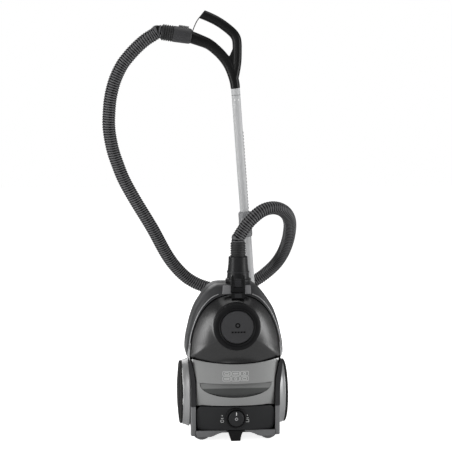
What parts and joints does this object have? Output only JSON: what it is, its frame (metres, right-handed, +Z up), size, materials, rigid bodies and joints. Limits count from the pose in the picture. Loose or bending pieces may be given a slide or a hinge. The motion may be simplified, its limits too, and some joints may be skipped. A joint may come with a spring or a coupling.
{
  "type": "cylinder vacuum cleaner",
  "caption": "Bagless cylinder vacuum cleaner parked on its rear end, with a ribbed hose looping to the grip of a telescopic wand that stands behind it.",
  "frame": {"origin": "centre of the rear foot runner's flat underside, on the floor", "axes": "+Z up; -Y towards the lid side, so the underside with its wheels faces +Y; +X to the right seen from the lid side"},
  "size_m": [0.5295, 0.4428, 1.1325],
  "materials": {
    "graphite_casing": "fine texture",
    "smoked_lid": "gloss",
    "silver_paint": "metallic satin",
    "satin_grey": "satin",
    "dark_grey": "satin",
    "black_plastic": "satin",
    "soft_black": "matt",
    "tyre_rubber": "matt",
    "hose_grey": "satin",
    "wand_metal": "satin anodised",
    "collar_grey": "satin",
    "steel": "brushed",
    "copper": "lacquered wire",
    "filter": "felt",
    "board": "lacquer",
    "bristle": "bristle",
    "bin_plastic": "clear"
  },
  "bodies": {
    "canister": {"axle_left": "steel", "axle_right": "steel", "circuit_board": "board", "control_panel": "dark_grey", "cord_outlet": "soft_black", "cyclone_cone": "satin_grey", "dial_ring": "black_plastic", "dust_bin": "bin_plastic", "exhaust_filter": "filter", "exhaust_grille": "dark_grey", "fan_housing": "satin_grey", "head_neck": "dark_grey", "hose": "hose_grey", "hose_connector": "dark_grey", "inlet_sleeve": "soft_black", "inlet_socket": "black_plastic", "latch_frame": "black_plastic", "lower_shell": "graphite_casing", "motor": "steel", "motor_filter": "filter", "motor_mount": "soft_black", "motor_winding": "copper", "nose_trim": "satin_grey", "park_bracket": "dark_grey", "park_hook": "dark_grey", "rear_foot": "dark_grey", "rear_pad_left": "satin_grey", "rear_pad_right": "satin_grey", "recess_cup": "satin_grey", "rim_piping_left": "silver_paint", "rim_piping_right": "silver_paint", "side_trim_left": "dark_grey", "side_trim_right": "dark_grey", "silver_cover": "silver_paint", "wand_collar": "collar_grey", "wand_lower_tube": "wand_metal", "wheel_arch_left": "silver_paint", "wheel_arch_right": "silver_paint"},
    "lid": {"lid_cover": "smoked_lid"},
    "cap": {"cap_ring": "black_plastic", "cap_disc": "dark_grey"},
    "latch": {"latch_button": "collar_grey"},
    "dial": {"power_dial": "dark_grey"},
    "wheel_l": {"wheel_left": "black_plastic", "tyre_left": "tyre_rubber"},
    "wheel_r": {"wheel_right": "black_plastic", "tyre_right": "tyre_rubber"},
    "castor": {"castor_fork": "black_plastic"},
    "castor_roller": {"castor_wheel": "soft_black"},
    "wand_top": {"wand_upper_tube": "wand_metal", "grip": "black_plastic", "grip_strut": "black_plastic", "hose_cuff": "dark_grey", "cuff_sleeve": "soft_black"},
    "suction_valve": {"suction_slider": "collar_grey"},
    "wand_release": {"collar_button": "dark_grey"},
    "head": {"floor_head": "dark_grey", "sole_plate": "steel", "brush_strip": "bristle"},
    "pedal": {"head_pedal": "satin_grey"}
  },
  "joints": [
    {"name": "lid_hinge", "type": "hinge", "parent": "canister", "child": "lid", "pos_m": [0, -0.112, 0.2082], "axis": [1, 0, 0], "range_deg": [0, 70]},
    {"name": "cap_twist", "type": "hinge", "parent": "lid", "child": "cap", "pos_m": [0, -0.127, 0.308], "axis": [0, -1, 0], "range_deg": [-30, 30]},
    {"name": "latch_press", "type": "slide", "parent": "canister", "child": "latch", "axis": [0, 1, 0], "range_m": [0, 0.003], "stiffness_N_per_m": 600},
    {"name": "dial_turn", "type": "hinge", "parent": "canister", "child": "dial", "pos_m": [0, -0.101, 0.063], "axis": [0, -1, 0], "range_deg": [-130, 130]},
    {"name": "wheel_spin_left", "type": "hinge", "parent": "canister", "child": "wheel_l", "pos_m": [-0.14, 0.022, 0.108], "axis": [1, 0, 0], "continuous": true},
    {"name": "wheel_spin_right", "type": "hinge", "parent": "canister", "child": "wheel_r", "pos_m": [0.14, 0.022, 0.108], "axis": [1, 0, 0], "continuous": true},
    {"name": "castor_swivel", "type": "hinge", "parent": "canister", "child": "castor", "pos_m": [0, 0.0823, 0.318], "axis": [0, 1, 0], "continuous": true},
    {"name": "castor_roll", "type": "hinge", "parent": "castor", "child": "castor_roller", "pos_m": [0, 0.0955, 0.298], "axis": [1, 0, 0], "continuous": true},
    {"name": "wand_telescope", "type": "slide", "parent": "canister", "child": "wand_top", "axis": [-0.0781, -0.0536, 0.9955], "range_m": [-0.26, 0.02], "deforming": ["hose"]},
    {"name": "suction_slide", "type": "slide", "parent": "wand_top", "child": "suction_valve", "axis": [-0.9888, -0.0625, 0.1353], "range_m": [0, 0.012]},
    {"name": "collar_release_slide", "type": "slide", "parent": "canister", "child": "wand_release", "axis": [-0.0781, -0.0536, 0.9955], "range_m": [-0.004, 0.004], "stiffness_N_per_m": 300},
    {"name": "head_tilt", "type": "hinge", "parent": "canister", "child": "head", "pos_m": [0.08, 0.208, 0.024], "axis": [1, 0, 0], "range_deg": [-25, 25]},
    {"name": "pedal_rock", "type": "hinge", "parent": "head", "child": "pedal", "pos_m": [0.08, 0.25, 0.036], "axis": [1, 0, 0], "range_deg": [0, 18]}
  ]
}
